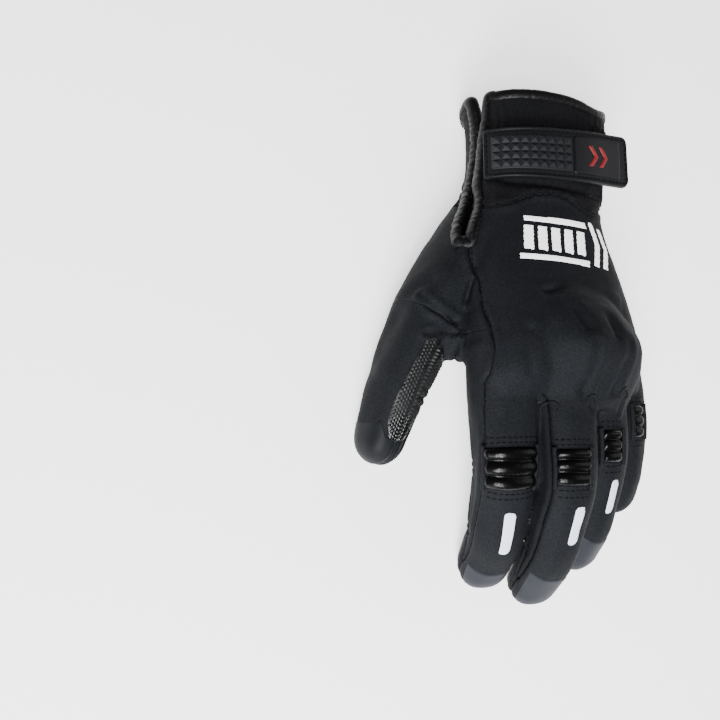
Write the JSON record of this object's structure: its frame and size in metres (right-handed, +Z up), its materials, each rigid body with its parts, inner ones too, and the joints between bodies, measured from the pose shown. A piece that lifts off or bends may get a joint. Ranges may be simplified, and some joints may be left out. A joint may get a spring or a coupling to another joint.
{
  "type": "softshell riding glove",
  "caption": "Left softshell riding glove lying palm down, with padded knuckles, ribbed joints, grip patches and a studded wrist strap.",
  "frame": {"origin": "middle of the glove's box in plan, on the surface that it lies on, palm down", "axes": "+Y towards the cuff, +X towards the little finger's side, +Z up out of the back of the hand"},
  "size_m": [0.1274, 0.2092, 0.0645],
  "materials": {
    "softshell": "matt woven softshell",
    "stretch": "matt fine knit",
    "grip": "pebbled satin rubber",
    "gloss": "glossy coated leather",
    "rubber": "satin moulded rubber",
    "label": "satin",
    "reflective": "retroreflective silver film",
    "tip": "smooth satin overlay",
    "woven": "woven label"
  },
  "bodies": {
    "root": {"back_panel": "softshell", "thenar_panel": "softshell", "palm_panel": "softshell", "index_side": "stretch", "fourchette_index_middle": "stretch", "fourchette_middle_ring": "stretch", "fourchette_ring_little": "stretch", "little_side": "stretch", "thumb_back": "softshell", "thumb_palm": "softshell", "cuff_back": "softshell", "cuff_palm": "softshell", "cuff_binding": "gloss", "wrist_strap": "rubber", "strap_studs": "rubber", "strap_label": "label", "loop_patch": "stretch", "index_ribs": "gloss", "middle_ribs": "gloss", "ring_ribs": "gloss", "little_ribs": "gloss", "index_reflector": "reflective", "middle_reflector": "reflective", "ring_reflector": "reflective", "index_tip_cap": "tip", "middle_tip_cap": "tip", "ring_tip_cap": "tip", "thumb_tip_cap": "tip", "index_touch_pad": "grip", "middle_touch_pad": "grip", "thumb_touch_pad": "grip", "palm_grip_patch": "grip", "thumb_grip_patch": "grip", "heel_patch": "rubber", "side_label": "woven"}
  },
  "joints": []
}
